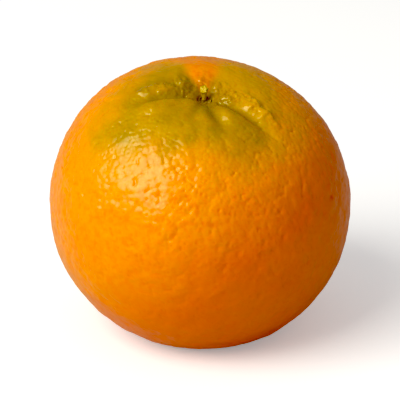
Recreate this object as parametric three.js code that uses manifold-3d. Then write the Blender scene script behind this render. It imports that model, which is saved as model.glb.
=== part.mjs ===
// A whole tangerine at rest: the grown fruit, the little dried calyx in its stem end and the stub
// of stem that the picker left. Millimetres, +Z up, origin under the middle of the fruit.
//
// The fruit is worked out in its own frame, whose +Z is the stem axis and whose azimuths run
// anticlockwise from +X seen from above the stem. It then leans as it lies: the stem end comes
// forward, towards -Y, and the underside is pressed into the small flat that it rests on.
import * as THREE from "three";
import { mergeVertices } from "three/addons/utils/BufferGeometryUtils.js";
import Module from "manifold-3d";

// The whole fruit.
const EQUATOR_RADIUS = 35;
const SHORT_RADIUS = 32.7; // from the centre to either end of the short axis
const FULLNESS = 2.09; // 2 is an ellipse, and more is squarer shoulders
const SHORT_AXIS_OFF_STEM = 9; // degrees that the short axis stands to the +X side of the stem
const LEAN_FORWARD = 17.5; // degrees
const LEAN_RIGHT = 2; // degrees

// The resting flat.
const CENTRE_TO_FLOOR = 30.2;
const PRESS_REACH = 3.5; // the skin starts to give this far above the floor
const FLAT_DEPTH = 0.2; // what the flat takes off the pressed skin

// The hollow at the stem end.
const CUP = { depth: 2.2, radius: 7.5 };
const FUNNEL = { depth: 1.5, radius: 2.8 };
const SOCKET = { floorRadius: 1.8, mouthRadius: 1.85, depth: 0.9 };

// Creases that run out from the stem. az is where one starts, turn is how far it swings on its
// way out, both in degrees, and reach is its far end's distance from the stem axis.
const CREASES = [
  { az: 187, turn: 2, reach: 19, depth: 1.3, width: 1.5 },
  { az: 283, turn: 8, reach: 15, depth: 0.95, width: 1.5 },
  { az: 257, turn: -2, reach: 13, depth: 0.5, width: 1.2 },
  { az: 328, turn: -4, reach: 22, depth: 1.15, width: 1.7 },
  { az: 14, turn: 4, reach: 10, depth: 0.35, width: 1.0 },
  { az: 66, turn: 4, reach: 11, depth: 0.2, width: 1.5 },
  { az: 121, turn: -6, reach: 12, depth: 0.4, width: 1.5 },
  { az: 158, turn: 0, reach: 12, depth: 0.45, width: 1.2 },
];
const CREASE_START = 2.6; // distance from the stem axis where the creases come up out of the cup
const CREASE_FULL = 5;

// The ridge beside a crease: its height as a share of the crease's depth, and how far aside and
// how wide it stands, in widths of the crease.
const RIDGE = { share: 0.35, aside: 2, width: 1.2 };

// The calyx and the stem stub, with the gap that parts them from their neighbours.
const GAP = 0.3;
const CALYX = { radius: 1.45, footRadius: 1.15, height: 0.95, floor: 0.4, wall: 0.28 };
const CALYX_ROUNDING = 0.08;
const SEPALS = { count: 5, rise: 0.15 };
const STUB = { baseRadius: 0.42, topRadius: 0.9, height: 2.7, slant: 0.35, lean: 8, az: 108 };
const STUB_OFF_AXIS = 0.4;

// Mesh fineness.
const AZIMUTH_STEPS = 84;
const RINGS = 46;
const RING_CROWDING = 1.4; // above 1 crowds the rings towards the stem
const SMALL_STEPS = 30; // around the socket and the calyx
const STUB_STEPS = 14; // around the stub
const STUB_RINGS = 4; // along the stub
const CUTTER_CLEARANCE = 3; // how far the socket's cutter stands out above the skin

const { degToRad, smoothstep } = THREE.MathUtils;

const wasm = await Module();
wasm.setup();

function solidOf(geometry) {
  const bare = geometry.clone();
  bare.deleteAttribute("normal");
  bare.deleteAttribute("uv");
  const merged = mergeVertices(bare, 1e-3);
  return new wasm.Manifold(
    new wasm.Mesh({
      numProp: 3,
      vertProperties: merged.attributes.position.array,
      triVerts: new Uint32Array(merged.index.array),
    }),
  );
}

function geometryOf(solid) {
  const mesh = solid.getMesh();
  return new THREE.BufferGeometry()
    .setAttribute("position", new THREE.BufferAttribute(mesh.vertProperties, 3))
    .setIndex(new THREE.BufferAttribute(mesh.triVerts, 1));
}

// Moves each vertex of a geometry to move(vertex).
function reshape(geometry, move) {
  const position = geometry.attributes.position;
  const vertex = new THREE.Vector3();
  for (let i = 0; i < position.count; i++) {
    vertex.fromBufferAttribute(position, i);
    const { x, y, z } = move(vertex);
    position.setXYZ(i, x, y, z);
  }
  geometry.computeVertexNormals();
  return geometry;
}

const lean = new THREE.Quaternion().setFromEuler(
  new THREE.Euler(degToRad(LEAN_FORWARD), degToRad(LEAN_RIGHT), 0, "XYZ"),
);
const down = new THREE.Vector3(0, 0, -1).applyQuaternion(lean.clone().invert());
const shortAxis = new THREE.Vector3(0, 0, 1).applyAxisAngle(
  new THREE.Vector3(0, 1, 0),
  degToRad(SHORT_AXIS_OFF_STEM),
);

// The plain fruit's radius in a direction: a superellipse turned about the short axis.
function bodyRadius(direction) {
  const along = Math.abs(direction.dot(shortAxis));
  const across = Math.sqrt(Math.max(0, 1 - along * along));
  const sum = (across / EQUATOR_RADIUS) ** FULLNESS + (along / SHORT_RADIUS) ** FULLNESS;
  return sum ** (-1 / FULLNESS);
}

// One crease with the low ridges beside it, at a distance from the stem axis and an azimuth.
function creaseHeight({ az, turn, reach, depth, width }, distance, azimuth) {
  const line = degToRad(az + turn * smoothstep(distance, CREASE_START, reach));
  const off = azimuth - line;
  if (Math.cos(off) <= 0) return 0;
  const aside = Math.abs(distance * Math.sin(off));
  const strength =
    smoothstep(distance, CREASE_START, CREASE_FULL) * (1 - smoothstep(distance, reach / 2, reach));
  const valley = Math.exp(-((aside / width) ** 2));
  const ridge = Math.exp(-(((aside - RIDGE.aside * width) / (RIDGE.width * width)) ** 2));
  return depth * strength * (RIDGE.share * ridge - valley);
}

// How far the stem end's hollow and creases lift or sink the skin.
function stemRelief(distance, azimuth) {
  const hollow = ({ depth, radius }) => -depth * Math.exp(-((distance / radius) ** 2));
  const creases = CREASES.map((crease) => creaseHeight(crease, distance, azimuth));
  return hollow(CUP) + hollow(FUNNEL) + creases.reduce((sum, height) => sum + height, 0);
}

// Presses the underside against the floor, and leaves it flat where it touches.
function settle(point) {
  const above = CENTRE_TO_FLOOR - point.dot(down);
  if (above >= PRESS_REACH) return point;
  const pressed = (above + PRESS_REACH) ** 2 / (4 * PRESS_REACH);
  return point.addScaledVector(down, above - Math.max(pressed, FLAT_DEPTH));
}

function fruitPoint(vertex) {
  const ring = Math.acos(THREE.MathUtils.clamp(vertex.z, -1, 1)) / Math.PI;
  const colatitude = Math.PI * ring ** RING_CROWDING;
  const azimuth = Math.atan2(vertex.y, vertex.x);
  const direction = new THREE.Vector3(
    Math.sin(colatitude) * Math.cos(azimuth),
    Math.sin(colatitude) * Math.sin(azimuth),
    Math.cos(colatitude),
  );
  const radius = bodyRadius(direction);
  const stemSide = colatitude < Math.PI / 2;
  const distance = radius * Math.sin(colatitude);
  const relief = stemSide ? stemRelief(distance, azimuth) : 0;
  return settle(direction.multiplyScalar(radius + relief));
}

// The height, on the stem axis, of the hollow's floor before the socket is cut.
const hollowFloor = bodyRadius(new THREE.Vector3(0, 0, 1)) + stemRelief(0, 0);
const socketFloor = hollowFloor - SOCKET.depth;

// The tapered pit that the calyx sits in.
function socketCutter() {
  const { floorRadius, mouthRadius, depth } = SOCKET;
  const height = depth + CUTTER_CLEARANCE;
  const topRadius = floorRadius + ((mouthRadius - floorRadius) * height) / depth;
  const cutter = new THREE.CylinderGeometry(topRadius, floorRadius, height, SMALL_STEPS);
  return cutter.rotateX(Math.PI / 2).translate(0, 0, socketFloor + height / 2);
}

function fruitGeometry() {
  const ball = new THREE.SphereGeometry(1, AZIMUTH_STEPS, RINGS).rotateX(Math.PI / 2);
  return geometryOf(solidOf(reshape(ball, fruitPoint)).subtract(solidOf(socketCutter())));
}

// The calyx: a shallow dried cup whose rim rises a little at each sepal.
function calyxGeometry() {
  const { floor, wall, height, radius, footRadius } = CALYX;
  const profile = [
    [0, 0],
    [footRadius, 0],
    [radius - CALYX_ROUNDING, floor],
    [radius, height - 2 * CALYX_ROUNDING],
    [radius - CALYX_ROUNDING, height],
    [radius - wall, height - 2 * CALYX_ROUNDING],
    [radius - wall - CALYX_ROUNDING, floor + CALYX_ROUNDING],
    [0, floor],
  ].map(([x, y]) => new THREE.Vector2(x, y));
  const cup = new THREE.LatheGeometry(profile, SMALL_STEPS).rotateX(Math.PI / 2);
  return reshape(cup, (vertex) => {
    const rim = smoothstep(vertex.z, floor + CALYX_ROUNDING, height);
    vertex.z += rim * SEPALS.rise * Math.cos(SEPALS.count * Math.atan2(vertex.y, vertex.x));
    return vertex;
  });
}

// The stem stub: a short peg that flares to the slanting break at its top.
function stubGeometry() {
  const { baseRadius, topRadius, height, slant } = STUB;
  const peg = new THREE.CylinderGeometry(topRadius, baseRadius, height, STUB_STEPS, STUB_RINGS);
  return reshape(peg.rotateX(Math.PI / 2).translate(0, 0, height / 2), (vertex) => {
    vertex.z += (vertex.z / height) ** 2 * slant * vertex.y;
    return vertex;
  });
}

function piece(name, geometry, color, roughness) {
  const mesh = new THREE.Mesh(
    geometry,
    new THREE.MeshStandardMaterial({ color, roughness, metalness: 0 }),
  );
  mesh.name = name;
  return mesh;
}

const fruit = piece("fruit", fruitGeometry(), "#f0860a", 0.4);

const calyx = piece("calyx", calyxGeometry(), "#7a6a1e", 0.8);
calyx.position.z = socketFloor + GAP;

const stemStub = piece("stem_stub", stubGeometry(), "#b9b02c", 0.6);
const stubAzimuth = degToRad(STUB.az);
stemStub.position.set(
  STUB_OFF_AXIS * Math.cos(stubAzimuth),
  STUB_OFF_AXIS * Math.sin(stubAzimuth),
  calyx.position.z + CALYX.floor + GAP,
);
stemStub.quaternion.setFromAxisAngle(
  new THREE.Vector3(-Math.sin(stubAzimuth), Math.cos(stubAzimuth), 0),
  degToRad(STUB.lean),
);

const leaning = new THREE.Group();
leaning.quaternion.copy(lean);
leaning.add(fruit, calyx, stemStub);

// Stand it on the floor, with the origin under the middle of its box.
const box = new THREE.Box3().setFromObject(leaning, true);
const middle = box.getCenter(new THREE.Vector3());
leaning.position.set(-middle.x, -middle.y, -box.min.z);

const tangerine = new THREE.Group();
tangerine.add(leaning);

export default tangerine;
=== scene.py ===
"""The looks of the tangerine: a pitted, glossy peel with a green, creased stem end, the dried calyx
in its hollow and the stub of stem, on a pale studio floor.

The fruit is worked out in millimetres in its own frame, whose +Z is the stem axis and whose
azimuths run anticlockwise from +X seen from above the stem. place() then leans it as it lies and
turns it into the frame's metres.
"""
import math

import bmesh
import bpy
import numpy as np
from mathutils import Matrix, Vector, noise
from mathutils.kdtree import KDTree


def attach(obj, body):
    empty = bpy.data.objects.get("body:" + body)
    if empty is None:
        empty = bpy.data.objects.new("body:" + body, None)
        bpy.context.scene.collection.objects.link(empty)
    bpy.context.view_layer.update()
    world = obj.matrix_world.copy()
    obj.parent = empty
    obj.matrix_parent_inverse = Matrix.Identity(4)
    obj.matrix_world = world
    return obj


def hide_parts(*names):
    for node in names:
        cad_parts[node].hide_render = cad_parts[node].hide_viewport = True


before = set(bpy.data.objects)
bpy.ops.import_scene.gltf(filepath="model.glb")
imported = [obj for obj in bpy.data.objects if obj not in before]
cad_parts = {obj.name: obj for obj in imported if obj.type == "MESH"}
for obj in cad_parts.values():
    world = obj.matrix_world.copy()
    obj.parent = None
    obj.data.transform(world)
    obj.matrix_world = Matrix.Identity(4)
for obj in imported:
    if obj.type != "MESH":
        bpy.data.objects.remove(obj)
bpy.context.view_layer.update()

# The whole fruit, in millimetres and degrees.
EQUATOR_RADIUS = 35
SHORT_RADIUS = 32.7
FULLNESS = 2.09
SHORT_AXIS_OFF_STEM = 9
LEAN_FORWARD = 17.5
LEAN_RIGHT = 2

# The resting flat.
CENTRE_TO_FLOOR = 30.2
PRESS_REACH = 3.5
FLAT_DEPTH = 0.2

# The hollow at the stem end, each part as (depth, radius), and the socket that the calyx sits in.
CUP = (2.2, 7.5)
FUNNEL = (1.5, 2.8)
SOCKET_RADIUS = 1.85
SOCKET_DEPTH = 0.9
SOCKET_SOFTNESS = 0.25

# Creases that run out from the stem: where one starts and how far it swings, in degrees, its far
# end's distance from the stem axis, its depth and its width.
CREASES = [
    (187, 2, 19, 1.3, 1.5),
    (283, 8, 15, 0.95, 1.5),
    (257, -2, 13, 0.5, 1.2),
    (328, -4, 22, 1.15, 1.7),
    (14, 4, 10, 0.35, 1.0),
    (66, 4, 11, 0.2, 1.5),
    (121, -6, 12, 0.4, 1.5),
    (158, 0, 12, 0.45, 1.2),
]
CREASE_START = 2.6
CREASE_FULL = 5

# The ridge beside a crease: its height as a share of the crease's depth, and how far aside and how
# wide it stands, in widths of the crease.
RIDGE_SHARE = 0.35
RIDGE_ASIDE = 2
RIDGE_WIDTH = 1.2

# The scar at the blossom end, as (depth, radius).
SCAR = (0.35, 1.1)

# Oil glands: how far apart they are, how far each is shaken out of its row as a share of that, the
# low dome over each, the share of domes that stand proud and how much higher those are, and the pits
# that some glands have.
GLAND_PITCH = 1.5
GLAND_SHAKE = 0.28
DOME_HEIGHT = (0.1, 0.25)
DOME_REACH = 1.2
PROUD_SHARE = 0.14
PROUD = 1.9
PITTED_SHARE = 0.6
PIT_RADIUS = (0.55, 0.95)
PIT_DEPTH = (0.06, 0.2)

# The share of the glands' relief that is left at the stem, and the distances from the stem axis
# between which the rest comes back.
RELIEF_AT_STEM = 0.3
RELIEF_BACK = (9, 22)

# The share of the glands' relief that is lost towards the blossom end, and where it is lost along
# the stem axis, from -1 at the stem to 1 at the blossom end.
SMOOTHER_BELOW = 0.5
SMOOTHER_SPAN = (-0.5, 0.3)

# Slow unevenness of the peel, as (wavelength, height).
UNEVENNESS = [(16, 0.18), (5.5, 0.16), (2.7, 0.12)]
UNEVEN_FROM = (2.5, 7)  # distances from the stem axis between which it sets in

# Small wrinkles on the ridges behind the two deep creases: their noise's length, height, offset and
# fractal settings, the ridge heights between which they set in, and the middle azimuth of their side,
# its half-width and how soft its edge is.
WRINKLE_LENGTH = 2.6
WRINKLE_HEIGHT = 0.58
WRINKLE_SHIFT = Vector((0, 0, 31.2))
WRINKLE_FRACTAL = (0.7, 2.0, 3)
WRINKLED_RIDGE = (0.03, 0.3)
WRINKLED_SIDE = (75, 112)
WRINKLED_EDGE = 6

# Mesh fineness: rows of triangles along an icosahedron's edge, and how far rows crowd to the stem.
SPHERE_STEPS = 99
STEM_CROWDING = 0.35

MM = 0.001
UP = Vector((0, 0, 1))
LEAN = (
    Matrix.Rotation(math.radians(LEAN_FORWARD), 3, "X")
    @ Matrix.Rotation(math.radians(LEAN_RIGHT), 3, "Y")
)
DOWN = np.array(LEAN.transposed() @ -UP)
SHORT_AXIS = np.array(Matrix.Rotation(math.radians(SHORT_AXIS_OFF_STEM), 3, "Y") @ UP)
random = np.random.default_rng(7)


def smoothstep(value, low, high):
    part = np.clip((value - low) / (high - low), 0, 1)
    return part * part * (3 - 2 * part)


def bell(value, width):
    return np.exp(-((value / width) ** 2))


def angle_from(azimuth, middle):
    """Signed angle from middle to azimuth, both in degrees, from -180 to 180."""
    return (azimuth - middle + 180) % 360 - 180


# ---------------------------------------------------------------------------------- the form


def body_radius(direction):
    along = np.abs(direction @ SHORT_AXIS)
    across = np.sqrt(np.maximum(0, 1 - along**2))
    total = (across / EQUATOR_RADIUS) ** FULLNESS + (along / SHORT_RADIUS) ** FULLNESS
    return total ** (-1 / FULLNESS)


def crease_parts(distance, azimuth):
    """The valleys and the ridges beside them, each as a height in millimetres."""
    valleys = np.zeros_like(distance)
    ridges = np.zeros_like(distance)
    for start, turn, reach, depth, width in CREASES:
        line = start + turn * smoothstep(distance, CREASE_START, reach)
        off = np.radians(angle_from(azimuth, line))
        aside = np.abs(distance * np.sin(off))
        rise = smoothstep(distance, CREASE_START, CREASE_FULL)
        strength = rise * (1 - smoothstep(distance, reach / 2, reach)) * (np.cos(off) > 0)
        valleys += depth * strength * bell(aside, width)
        ridges += RIDGE_SHARE * depth * strength * bell(aside - RIDGE_ASIDE * width, RIDGE_WIDTH * width)
    return valleys, ridges


def stem_relief(distance, azimuth):
    valleys, ridges = crease_parts(distance, azimuth)
    hollow = CUP[0] * bell(distance, CUP[1]) + FUNNEL[0] * bell(distance, FUNNEL[1])
    edge = smoothstep(distance, SOCKET_RADIUS - SOCKET_SOFTNESS, SOCKET_RADIUS + SOCKET_SOFTNESS)
    return ridges - valleys - hollow - SOCKET_DEPTH * (1 - edge)


def settle(points):
    """Presses the underside against the floor, and leaves it flat where it touches."""
    above = CENTRE_TO_FLOOR - points @ DOWN
    pressed = np.maximum((above + PRESS_REACH) ** 2 / (4 * PRESS_REACH), FLAT_DEPTH)
    lift = np.where(above < PRESS_REACH, above - pressed, 0)
    return points + lift[:, None] * DOWN


def place(points):
    """Leans points of the fruit's own frame as it lies, and gives them in the frame's metres."""
    return (points @ np.array(LEAN).T + SHIFT) * MM


def uneven(directions):
    """Slow unevenness of the peel, in millimetres, for each direction."""
    heights = np.zeros(len(directions))
    for wavelength, height in UNEVENNESS:
        scale = EQUATOR_RADIUS / wavelength
        heights += [height * noise.noise(Vector(d) * scale + UP * wavelength) for d in directions]
    return heights


def wrinkles(directions, distance, azimuth):
    """The bumps that stand on the ridges beside the creases, as shares of WRINKLE_HEIGHT."""
    ridges = crease_parts(distance, azimuth)[1]
    scale = EQUATOR_RADIUS / WRINKLE_LENGTH
    spots = [Vector(d) * scale + WRINKLE_SHIFT for d in directions]
    bumps = np.array([noise.fractal(spot, *WRINKLE_FRACTAL) for spot in spots])
    away = np.abs(angle_from(azimuth, WRINKLED_SIDE[0])) - WRINKLED_SIDE[1]
    wrinkled = 1 - smoothstep(away, -WRINKLED_EDGE, WRINKLED_EDGE)
    return smoothstep(ridges, *WRINKLED_RIDGE) * bumps * wrinkled * (directions[:, 2] > 0)


def gland_points():
    """Evenly spread directions, shaken out of their rows."""
    count = int(4 * math.pi * (EQUATOR_RADIUS / GLAND_PITCH) ** 2)
    height = 1 - (2 * np.arange(count) + 1) / count
    turn = np.arange(count) * math.pi * (3 - math.sqrt(5))
    flat = np.sqrt(1 - height**2)
    points = np.stack([flat * np.cos(turn), flat * np.sin(turn), height], axis=1)
    points += random.normal(0, GLAND_SHAKE * GLAND_PITCH / EQUATOR_RADIUS, points.shape)
    return points / np.linalg.norm(points, axis=1, keepdims=True)


def gland_relief(directions):
    """The height of the oil glands at each direction, in millimetres, and 0 to 1 within a pit."""
    centres = gland_points()
    tree = KDTree(len(centres))
    for i, centre in enumerate(centres):
        tree.insert(centre, i)
    tree.balance()
    found = [tree.find(direction) for direction in directions]
    gland = np.array([index for _, index, _ in found])
    distance = np.array([length for _, _, length in found]) * EQUATOR_RADIUS
    domes = random.uniform(*DOME_HEIGHT, len(centres))
    domes *= np.where(random.random(len(centres)) < PROUD_SHARE, PROUD, 1)
    radii = random.uniform(*PIT_RADIUS, len(centres))
    depths = random.uniform(*PIT_DEPTH, len(centres))
    depths *= random.random(len(centres)) < PITTED_SHARE
    inside = np.maximum(0, 1 - (distance / radii[gland]) ** 2) ** 2
    dome = -domes[gland] * (distance / DOME_REACH) ** 2
    return dome - depths[gland] * inside, inside * depths[gland] / PIT_DEPTH[1]


def sphere_directions():
    """A unit sphere of 20 * SPHERE_STEPS ** 2 triangles, finer towards the stem."""
    seed = bmesh.new()
    bmesh.ops.create_icosphere(seed, subdivisions=1, radius=1)
    steps = SPHERE_STEPS
    rows, columns = np.array([(i, j) for i in range(steps + 1) for j in range(steps + 1 - i)]).T
    index = {(i, j): k for k, (i, j) in enumerate(zip(rows, columns))}
    up = [
        (index[i, j], index[i + 1, j], index[i, j + 1])
        for i in range(steps)
        for j in range(steps - i)
    ]
    low = [
        (index[i + 1, j], index[i + 1, j + 1], index[i, j + 1])
        for i in range(steps)
        for j in range(steps - i - 1)
    ]
    corners = [[np.array(loop.vert.co) for loop in face.loops] for face in seed.faces]
    seed.free()
    weights = np.stack([steps - rows - columns, rows, columns], axis=1) / steps
    points = np.concatenate([weights @ np.array(corner) for corner in corners])
    points /= np.linalg.norm(points, axis=1, keepdims=True)
    triangles = np.concatenate([np.array(up + low) + k * len(rows) for k in range(len(corners))])
    _, first, same = np.unique(np.round(points, 6), axis=0, return_index=True, return_inverse=True)
    points = points[first]
    colatitude = np.arccos(np.clip(points[:, 2], -1, 1))
    azimuth = np.arctan2(points[:, 1], points[:, 0])
    colatitude -= STEM_CROWDING * np.sin(colatitude)
    flat = np.sin(colatitude)
    points = np.stack([flat * np.cos(azimuth), flat * np.sin(azimuth), np.cos(colatitude)], axis=1)
    return points, same.reshape(-1)[triangles]


def mesh_object(name, points, faces, smooth=True):
    mesh = bpy.data.meshes.new(name)
    mesh.from_pydata(points.tolist(), [], faces.tolist() if hasattr(faces, "tolist") else faces)
    mesh.update()
    if smooth:
        mesh.shade_smooth()
    piece = bpy.data.objects.new(name, mesh)
    bpy.context.scene.collection.objects.link(piece)
    return piece


def store(piece, name, values):
    attribute = piece.data.attributes.new(name, "FLOAT", "POINT")
    attribute.data.foreach_set("value", values.astype(np.float32))


# ---------------------------------------------------------------------------------- the peel

# How far the green shoulder reaches from the stem axis, lobes on it as (azimuth, more, width), how
# soft its edge is, how far its edge wanders, and how much further the golden border round it reaches.
GREEN_REACH = 18.5
GREEN_LOBES = [(205, 7, 24), (312, 2.5, 14), (268, -1, 18), (150, 0, 28), (15, -2, 25)]
GREEN_EDGE = 6
GREEN_WANDER = 3
GOLD_BEYOND = 4.5
GOLD_SHARE = 0.85

# The ripe orange wedge behind the stem: its azimuth and half-width, how soft its edge is inside and
# outside that, and how far its edge wanders, all in degrees.
WEDGE = (94, 24)
WEDGE_EDGE = (10, 12)
WEDGE_WANDER = 10

# The noise that both edges wander by: its scale on a unit sphere, and its fractal settings.
WANDER_SCALE = 5
WANDER_FRACTAL = (1.0, 2.0, 3)

# Painted shade: the peel goes from golden to darker, deeper orange away from the key light.
PAINTED_SHADE_AXIS = np.array([0.6, -0.25, -0.68])
PAINTED_SHADE_SPAN = (-0.3, 0.3)

# The green shoulder is more golden on this side.
SUNNY_AXIS = np.array([0.8, 0.6, 0])
SUNNY_SPAN = (-0.05, 0.2)

# Distances from the stem axis over which the painted shade in the hollow and the socket's own colour
# fade, and the radius of the scar's colour.
HOLLOW_SHADE_FADE = (1.5, 13)
SOCKET_FADE = (1.6, 2.5)
SCAR_COLOUR_RADIUS = 1.3


def green_share(directions, distance, azimuth, beyond):
    """1 on the green shoulder, fading to 0 in the ripe peel, beyond millimetres further out."""
    reach = GREEN_REACH + beyond
    reach += sum(more * bell(angle_from(azimuth, at), width) for at, more, width in GREEN_LOBES)
    spots = [Vector(d) * WANDER_SCALE for d in directions]
    wander = np.array([noise.fractal(spot, *WANDER_FRACTAL) for spot in spots])
    edge = smoothstep(distance + GREEN_WANDER * wander, reach - GREEN_EDGE, reach + GREEN_EDGE)
    middle, half = WEDGE
    inner, outer = WEDGE_EDGE
    aside = np.abs(angle_from(azimuth, middle)) + WEDGE_WANDER * wander
    off_wedge = smoothstep(aside, half - inner, half + outer)
    on_stem_side = directions[:, 2] > 0
    return (1 - edge) * off_wedge * on_stem_side


def plain_form(directions):
    """The plain fruit at each direction: its radius, distance from the stem axis and azimuth."""
    radius = body_radius(directions)
    distance = radius * np.sqrt(1 - np.clip(directions[:, 2], -1, 1) ** 2)
    azimuth = np.degrees(np.arctan2(directions[:, 1], directions[:, 0])) % 360
    return radius, distance, azimuth


def gland_share(directions, distance):
    """How much of the glands' relief is left, which is less at the stem and at the blossom end."""
    near_stem = RELIEF_AT_STEM + (1 - RELIEF_AT_STEM) * smoothstep(distance, *RELIEF_BACK)
    share = np.where(directions[:, 2] > 0, near_stem, 1)
    return share * (1 - SMOOTHER_BELOW * smoothstep(-directions[:, 2], *SMOOTHER_SPAN))


def make_peel():
    directions, triangles = sphere_directions()
    radius, distance, azimuth = plain_form(directions)
    stem_side = directions[:, 2] > 0
    valleys, ridges = crease_parts(distance, azimuth)
    glands, inside = gland_relief(directions)
    share = gland_share(directions, distance)
    scar = -SCAR[0] * bell(distance, SCAR[1])
    height = np.where(stem_side, stem_relief(distance, azimuth), scar)
    height += uneven(directions) * np.where(stem_side, smoothstep(distance, *UNEVEN_FROM), 1)
    height += WRINKLE_HEIGHT * wrinkles(directions, distance, azimuth)
    points = settle(directions * (radius + height)[:, None])
    points += directions * (glands * share)[:, None]
    peel = mesh_object("peel", place(points), triangles)
    golden = green_share(directions, distance, azimuth, GOLD_BEYOND)
    store(peel, "gland", inside * share)
    store(peel, "green", green_share(directions, distance, azimuth, 0))
    store(peel, "gold", GOLD_SHARE * golden)
    # Painted shade: how far each point lies towards the side away from the key light.
    store(peel, "painted_shade", smoothstep(directions @ PAINTED_SHADE_AXIS, *PAINTED_SHADE_SPAN))
    store(peel, "sunny", smoothstep(directions @ SUNNY_AXIS, *SUNNY_SPAN))
    # The valleys' depth, which the material turns into painted shade.
    store(peel, "crease", np.where(stem_side, valleys, 0))
    store(peel, "ridge", np.where(stem_side, ridges, 0))
    # Painted shade in the hollow, strongest at the stem.
    store(peel, "stem", np.where(stem_side, 1 - smoothstep(distance, *HOLLOW_SHADE_FADE), 0))
    store(peel, "socket", np.where(stem_side, 1 - smoothstep(distance, *SOCKET_FADE), 0))
    store(peel, "scar", np.where(stem_side, 0, bell(distance, SCAR_COLOUR_RADIUS)))
    return peel


def middle_shift():
    """What stands the plain form on the floor, with the middle of its box over the origin."""
    directions, _ = sphere_directions()
    radius, distance, azimuth = plain_form(directions)
    relief = np.where(directions[:, 2] > 0, stem_relief(distance, azimuth), 0)
    points = settle(directions * (radius + relief)[:, None]) @ np.array(LEAN).T
    low, high = points.min(axis=0), points.max(axis=0)
    return np.array([-(low[0] + high[0]) / 2, -(low[1] + high[1]) / 2, -low[2]])


SHIFT = middle_shift()
HOLLOW_FLOOR = body_radius(np.array([[0, 0, 1.0]]))[0] - CUP[0] - FUNNEL[0] - SOCKET_DEPTH
CENTRE = Vector(place(np.zeros((1, 3)))[0])


# ---------------------------------------------------------------------------------- materials


class Nodes:
    """A short way to write a material's node tree."""

    def __init__(self, name):
        self.material = bpy.data.materials.new(name)
        self.material.use_nodes = True
        self.tree = self.material.node_tree
        self.shader = self.tree.nodes["Principled BSDF"]
        where = self.add("ShaderNodeTexCoord")
        scaled = self.add("ShaderNodeVectorMath", operation="SCALE")
        scaled.inputs["Scale"].default_value = 1 / MM
        self.join(where.outputs["Object"], scaled.inputs[0])
        self.place = scaled.outputs["Vector"]

    def add(self, kind, **settings):
        node = self.tree.nodes.new(kind)
        for key, value in settings.items():
            setattr(node, key, value)
        return node

    def join(self, output, target):
        self.tree.links.new(output, target)

    def feed(self, target, value):
        if isinstance(value, bpy.types.NodeSocket):
            self.join(value, target)
        else:
            target.default_value = value

    def attribute(self, name):
        return self.add("ShaderNodeAttribute", attribute_name=name).outputs["Fac"]

    def noise(self, wavelength, detail, warp=0.0):
        node = self.add("ShaderNodeTexNoise")
        self.join(self.place, node.inputs["Vector"])
        node.inputs["Scale"].default_value = 1 / wavelength
        node.inputs["Detail"].default_value = detail
        node.inputs["Distortion"].default_value = warp
        return node.outputs["Fac"]

    def cells(self, wavelength):
        node = self.add("ShaderNodeTexVoronoi", feature="F1")
        self.join(self.place, node.inputs["Vector"])
        node.inputs["Scale"].default_value = 1 / wavelength
        return node.outputs["Distance"]

    def ramp(self, value, low, high, start=0.0, end=1.0):
        """value from low to high, as start to end, with smooth ends."""
        node = self.add("ShaderNodeMapRange", interpolation_type="SMOOTHSTEP")
        self.feed(node.inputs["Value"], value)
        node.inputs["From Min"].default_value = low
        node.inputs["From Max"].default_value = high
        node.inputs["To Min"].default_value = start
        node.inputs["To Max"].default_value = end
        return node.outputs["Result"]

    def combine(self, operation, first, second):
        node = self.add("ShaderNodeMath", operation=operation)
        self.feed(node.inputs[0], first)
        self.feed(node.inputs[1], second)
        return node.outputs[0]

    def mix(self, share, first, second):
        node = self.add("ShaderNodeMix", data_type="RGBA")
        self.feed(node.inputs["Factor"], share)
        self.feed(node.inputs["A"], first)
        self.feed(node.inputs["B"], second)
        return node.outputs["Result"]

    def bump(self, height, distance, below=None):
        node = self.add("ShaderNodeBump")
        node.inputs["Strength"].default_value = 1.0
        node.inputs["Distance"].default_value = distance * MM
        self.join(height, node.inputs["Height"])
        if below is not None:
            self.join(below, node.inputs["Normal"])
        return node.outputs["Normal"]

    def set(self, **values):
        for name, value in values.items():
            self.feed(self.shader.inputs[name.replace("_", " ")], value)


def rgb(red, green, blue):
    """A colour from linear red, green and blue."""
    return (red, green, blue, 1.0)


# Colours of the peel.
GOLDEN_PEEL = rgb(0.90, 0.30, 0.008)
# The deeper orange below is painted shade, laid on the side away from the key light.
PAINTED_SHADE_ORANGE = rgb(0.84, 0.18, 0.004)
MOTTLE = rgb(0.87, 0.195, 0.004)
GLAND = rgb(0.76, 0.13, 0.002)
GOLDEN_BORDER = rgb(0.87, 0.33, 0.007)
SHOULDER = rgb(0.52, 0.28, 0.006)
SHOULDER_PATCH = rgb(0.40, 0.23, 0.006)
SUNNY_SHOULDER = rgb(0.70, 0.35, 0.008)
# Painted shade in the creases' valleys: a darker olive, deeper where the valley is deeper.
CREASE_SHADE = rgb(0.30, 0.19, 0.004)
# Painted shade in the hollow round the stem.
HOLLOW_SHADE = rgb(0.28, 0.17, 0.004)
SOCKET = rgb(0.60, 0.40, 0.08)
SCAR_COLOUR = rgb(0.2, 0.1, 0.02)

# Colours of the calyx and the stem stub, each with that of its patches.
CALYX = rgb(0.44, 0.31, 0.08)
CALYX_PATCH = rgb(0.22, 0.12, 0.02)
STUB = rgb(0.74, 0.52, 0.06)
STUB_PATCH = rgb(0.46, 0.32, 0.015)

SPECULAR_TINT = rgb(1.0, 0.96, 0.44)
SUBSURFACE_SCALE = 2.2 * MM
SUBSURFACE_RADIUS = (1.0, 0.35, 0.06)

# How strongly each colour is laid over the one below it, at most.
MOTTLE_SHARE = 0.5
GLAND_SHARE = 0.35
SUNNY_SHARE = 0.75
CREASE_SHADE_SHARE = 0.5
HOLLOW_SHADE_SHARE = 0.5

# Pores and grain finer than the mesh, as (wavelength, depth) in millimetres.
PORES = (1.1, 0.035)
GRAIN = (0.28, 0.007)


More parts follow.
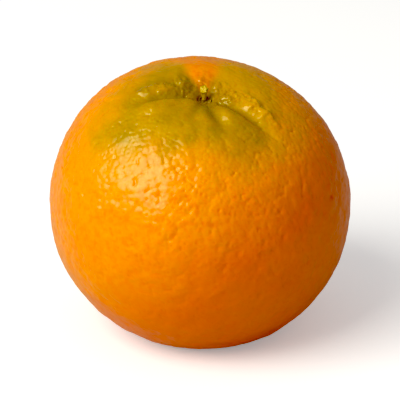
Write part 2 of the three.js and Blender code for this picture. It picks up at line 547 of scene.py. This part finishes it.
def orange_with_painted_shade(n):
    """Golden to a darker, deeper orange as painted shade on the side away from the key light, mottled,
    and deeper in the glands.
    """
    painted_shade = n.combine("ADD", n.attribute("painted_shade"), n.ramp(n.noise(9, 3), 0.3, 0.7, -0.15, 0.15))
    colour = n.mix(painted_shade, GOLDEN_PEEL, PAINTED_SHADE_ORANGE)
    colour = n.mix(n.ramp(n.noise(1.5, 2), 0.4, 0.7, 0, MOTTLE_SHARE), colour, MOTTLE)
    return n.mix(n.ramp(n.attribute("gland"), 0.1, 0.9, 0, GLAND_SHARE), colour, GLAND)


def shoulder_colour(n):
    """The green shoulder, in patches, and more golden on its sunny side."""
    colour = n.mix(n.ramp(n.noise(4.5, 2), 0.3, 0.7), SHOULDER, SHOULDER_PATCH)
    return n.mix(n.ramp(n.attribute("sunny"), 0, 1, 0, SUNNY_SHARE), colour, SUNNY_SHOULDER)


def peel_colour(n):
    colour = n.mix(n.attribute("gold"), orange_with_painted_shade(n), GOLDEN_BORDER)
    colour = n.mix(n.attribute("green"), colour, shoulder_colour(n))
    # Painted shade in the creases' valleys.
    colour = n.mix(n.ramp(n.attribute("crease"), 0.1, 1.1, 0, CREASE_SHADE_SHARE), colour, CREASE_SHADE)
    # Painted shade in the hollow round the stem.
    colour = n.mix(n.ramp(n.attribute("stem"), 0.3, 1.0, 0, HOLLOW_SHADE_SHARE), colour, HOLLOW_SHADE)
    colour = n.mix(n.attribute("socket"), colour, SOCKET)
    return n.mix(n.attribute("scar"), colour, SCAR_COLOUR)


def peel_roughness(n):
    """Uneven, and glossier on the ridges beside the creases."""
    rough = n.ramp(n.noise(2.2, 3), 0.3, 0.7, 0.4, 0.52)
    return n.combine("MULTIPLY", rough, n.ramp(n.attribute("ridge"), 0.0, 0.25, 1.0, 0.6))


def peel_material():
    n = Nodes("peel")
    grain = n.bump(n.noise(GRAIN[0], 3), GRAIN[1])
    n.set(
        Base_Color=peel_colour(n),
        Roughness=peel_roughness(n),
        IOR=1.6,
        Normal=n.bump(n.ramp(n.cells(PORES[0]), 0.0, 0.5), PORES[1], below=grain),
        Subsurface_Weight=0.35,
        Subsurface_Scale=SUBSURFACE_SCALE,
        Subsurface_Radius=SUBSURFACE_RADIUS,
        Specular_Tint=SPECULAR_TINT,
        Coat_Weight=0.34,
        Coat_Roughness=0.25,
    )
    return n.material


def calyx_material():
    n = Nodes("calyx")
    colour = n.mix(n.ramp(n.noise(0.5, 3), 0.3, 0.7), CALYX, CALYX_PATCH)
    n.set(Base_Color=colour, Roughness=0.8, Normal=n.bump(n.noise(0.15, 3), 0.05))
    return n.material


def stub_material():
    n = Nodes("stem_stub")
    colour = n.mix(n.ramp(n.noise(0.3, 3, warp=0.5), 0.35, 0.65), STUB, STUB_PATCH)
    n.set(Base_Color=colour, Roughness=0.6, Normal=n.bump(n.noise(0.2, 3), 0.05))
    return n.material


# ---------------------------------------------------------------------------------- calyx and stub

# The calyx, whose rim rises at each sepal, and how far noise makes its rim and its sides ragged.
CALYX_RADIUS = 1.45
CALYX_HEIGHT = 0.95
CALYX_FLOOR = 0.4
CALYX_WALL = 0.28
CALYX_STEPS = 96
SEPALS = 5
SEPAL_RISE = 0.16
CALYX_RAGGED_RIM = 0.2
CALYX_RAGGED_SIDE = 0.06
CALYX_NOISE = 2.2  # waves in a millimetre

# The stem stub, which flares from its foot to its broken top, and stands a little off the axis.
STUB_HEIGHT = 2.7
STUB_RADII = (0.42, 0.9)
STUB_FLARE = 1.6  # above 1 keeps the flare to the top
STUB_LEAN = 8
STUB_AZIMUTH = 108
STUB_OFF_AXIS = 0.4
STUB_STEPS = 40
STUB_RINGS = 14

# Ribs round the stub as (count, depth, turn), the first of which deepen towards the top.
STUB_RIBS = (5, 0.14, 1)
STUB_FINE_RIBS = (11, 0.07, 0)

# The break at the stub's top: its slope across the stem, and how ragged it is.
BREAK_SLANT = 0.35
BREAK_RAGGED = 0.7
BREAK_FROM = 0.8  # share of the height where it starts
BREAK_NOISE = 1.8  # waves in a millimetre

GAP = 0.3  # between the socket's floor and the calyx, and between the calyx and the stub


def lathe(profile, steps):
    """Closed surface of revolution about Z from a profile that starts and ends on the axis."""
    rings = profile[1:-1]
    points = [(0, 0, profile[0][1])]
    for radius, z in rings:
        for k in range(steps):
            turn = 2 * math.pi * k / steps
            points.append((radius * math.cos(turn), radius * math.sin(turn), z))
    points.append((0, 0, profile[-1][1]))
    last = len(points) - 1
    faces = [(0, 1 + (k + 1) % steps, 1 + k) for k in range(steps)]
    for ring in range(len(rings) - 1):
        start = 1 + ring * steps
        for k in range(steps):
            after = (k + 1) % steps
            faces.append((start + k, start + after, start + steps + after, start + steps + k))
    start = 1 + (len(rings) - 1) * steps
    faces += [(start + k, start + (k + 1) % steps, last) for k in range(steps)]
    return np.array(points, dtype=float), faces


def rounded(points, levels):
    """A profile with its corners cut levels times."""
    for _ in range(levels):
        smooth = [points[0]]
        for (x0, z0), (x1, z1) in zip(points, points[1:]):
            smooth.append((0.75 * x0 + 0.25 * x1, 0.75 * z0 + 0.25 * z1))
            smooth.append((0.25 * x0 + 0.75 * x1, 0.25 * z0 + 0.75 * z1))
        smooth.append(points[-1])
        points = smooth
    return points


def raggedness(points, scale):
    return np.array([noise.noise(Vector(p) * scale) for p in points])


def make_calyx():
    inner = CALYX_RADIUS - CALYX_WALL
    profile = [
        (0, 0),
        (CALYX_RADIUS * 0.8, 0),
        (CALYX_RADIUS, CALYX_FLOOR),
        (CALYX_RADIUS, CALYX_HEIGHT),
        (inner, CALYX_HEIGHT * 0.9),
        (inner - CALYX_WALL * 0.3, CALYX_FLOOR * 1.2),
        (0, CALYX_FLOOR),
    ]
    points, faces = lathe(rounded(profile, 2), CALYX_STEPS)
    turn = np.arctan2(points[:, 1], points[:, 0])
    rim = smoothstep(points[:, 2], CALYX_FLOOR, CALYX_HEIGHT)
    ragged = raggedness(points, CALYX_NOISE)
    points[:, 2] += rim * (SEPAL_RISE * np.cos(SEPALS * turn) + CALYX_RAGGED_RIM * ragged)
    points[:, :2] *= 1 + CALYX_RAGGED_SIDE * ragged[:, None]
    points[:, 2] += HOLLOW_FLOOR + GAP
    return mesh_object("dried_calyx", place(points), faces)


def stub_profile():
    foot, top = STUB_RADII
    profile = [(0, 0)]
    for k in range(STUB_RINGS + 1):
        part = k / STUB_RINGS
        profile.append((foot + (top - foot) * part**STUB_FLARE, STUB_HEIGHT * part))
    profile.append((top * 0.6, STUB_HEIGHT * 0.97))
    profile.append((0, STUB_HEIGHT * 0.93))
    return profile


def make_stub():
    points, faces = lathe(stub_profile(), STUB_STEPS)
    turn = np.arctan2(points[:, 1], points[:, 0])
    part = points[:, 2] / STUB_HEIGHT
    count, depth, start = STUB_RIBS
    fine_count, fine_depth, fine_start = STUB_FINE_RIBS
    rib = 1 + depth * np.sin(count * turn + start) * part
    rib += fine_depth * np.sin(fine_count * turn + fine_start)
    points[:, :2] *= rib[:, None]
    ragged = raggedness(points, BREAK_NOISE)
    at_break = smoothstep(part, BREAK_FROM, 1)
    points[:, 2] += at_break * (BREAK_SLANT * points[:, 1] + BREAK_RAGGED * ragged)
    azimuth = math.radians(STUB_AZIMUTH)
    side = Vector((-math.sin(azimuth), math.cos(azimuth), 0))
    tilt = np.array(Matrix.Rotation(math.radians(STUB_LEAN), 3, side))
    points = points @ tilt.T
    points += [
        STUB_OFF_AXIS * math.cos(azimuth),
        STUB_OFF_AXIS * math.sin(azimuth),
        HOLLOW_FLOOR + GAP + CALYX_FLOOR + GAP,
    ]
    return mesh_object("stem_end", place(points), faces)


def dress(piece, material, node):
    piece.data.materials.append(material)
    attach(piece, "root")
    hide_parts(node)


dress(make_peel(), peel_material(), "fruit")
dress(make_calyx(), calyx_material(), "calyx")
dress(make_stub(), stub_material(), "stem_stub")


# ---------------------------------------------------------------------------------- the studio

# The key light, a soft square: the direction from the fruit to it, its distance and side in metres,
# its power in watts and its colour.
KEY_DIRECTION = (-0.61, -0.455, 0.645)
KEY_DISTANCE = 1.2
KEY_SIZE = 0.88
KEY_POWER = 15
KEY_COLOUR = (1.0, 0.975, 0.9)

CAMERA_DISTANCE = 0.4
CAMERA_ELEVATION = math.radians(22)
CAMERA_LENS = 154.3
AIM_ABOVE_CENTRE = 0.0005
SENSOR_WIDTH = 36

WORLD_STRENGTH = 0.385
BLACK_LEVEL = 0.06

# The paper floor: half its side in metres, how pale it is to the light that bounces off it and how
# pale the camera sees it, and the glow that the camera also sees.
FLOOR_HALF = 1.5
PAPER = 0.64
BRIGHT_PAPER = 0.86
PAPER_GLOW = 0.32


def aim(thing, target):
    thing.rotation_euler = (target - thing.location).to_track_quat("-Z", "Y").to_euler()


def make_camera():
    camera = bpy.data.objects.new("camera", bpy.data.cameras.new("camera"))
    camera.data.lens = CAMERA_LENS
    camera.data.sensor_width = SENSOR_WIDTH
    target = CENTRE + UP * AIM_ABOVE_CENTRE
    back = Vector((0, -math.cos(CAMERA_ELEVATION), math.sin(CAMERA_ELEVATION)))
    camera.location = target + back * CAMERA_DISTANCE
    aim(camera, target)
    bpy.context.scene.collection.objects.link(camera)
    bpy.context.scene.camera = camera


def make_key_light():
    data = bpy.data.lights.new("key", "AREA")
    data.shape = "RECTANGLE"
    data.size = KEY_SIZE
    data.size_y = KEY_SIZE
    data.energy = KEY_POWER
    data.color = KEY_COLOUR
    light = bpy.data.objects.new("key", data)
    light.location = CENTRE + Vector(KEY_DIRECTION).normalized() * KEY_DISTANCE
    aim(light, CENTRE)
    bpy.context.scene.collection.objects.link(light)


def make_world():
    world = bpy.data.worlds.new("studio")
    world.use_nodes = True
    bpy.context.scene.world = world
    background = world.node_tree.nodes["Background"]
    background.inputs["Color"].default_value = rgb(1, 1, 1)
    background.inputs["Strength"].default_value = WORLD_STRENGTH


def grade():
    """Standard colours, with blacks a little crushed as in a product photograph."""
    view = bpy.context.scene.view_settings
    view.view_transform = "Standard"
    view.use_curve_mapping = True
    view.curve_mapping.black_level = (BLACK_LEVEL, BLACK_LEVEL, BLACK_LEVEL)
    view.curve_mapping.update()


def floor_material():
    """White paper that the camera sees a little overexposed, as a product photographer lights it."""
    material = bpy.data.materials.new("floor")
    material.use_nodes = True
    tree = material.node_tree
    tree.nodes.clear()
    paper, bright, glow, both, pick = (
        tree.nodes.new("ShaderNode" + kind)
        for kind in ("BsdfDiffuse", "BsdfDiffuse", "Emission", "AddShader", "MixShader")
    )
    paper.inputs["Color"].default_value = rgb(PAPER, PAPER, PAPER)
    bright.inputs["Color"].default_value = rgb(BRIGHT_PAPER, BRIGHT_PAPER, BRIGHT_PAPER)
    glow.inputs["Strength"].default_value = PAPER_GLOW
    path = tree.nodes.new("ShaderNodeLightPath")
    output = tree.nodes.new("ShaderNodeOutputMaterial")
    tree.links.new(bright.outputs[0], both.inputs[0])
    tree.links.new(glow.outputs[0], both.inputs[1])
    tree.links.new(path.outputs["Is Camera Ray"], pick.inputs[0])
    tree.links.new(paper.outputs[0], pick.inputs[1])
    tree.links.new(both.outputs[0], pick.inputs[2])
    tree.links.new(pick.outputs[0], output.inputs["Surface"])
    return material


def make_floor():
    signs = [(-1, -1, 0), (1, -1, 0), (1, 1, 0), (-1, 1, 0)]
    corners = np.array(signs) * FLOOR_HALF
    floor = mesh_object("floor", corners, [(0, 1, 2, 3)], smooth=False)
    floor.data.materials.append(floor_material())


make_camera()
make_world()
make_floor()
make_key_light()
grade()
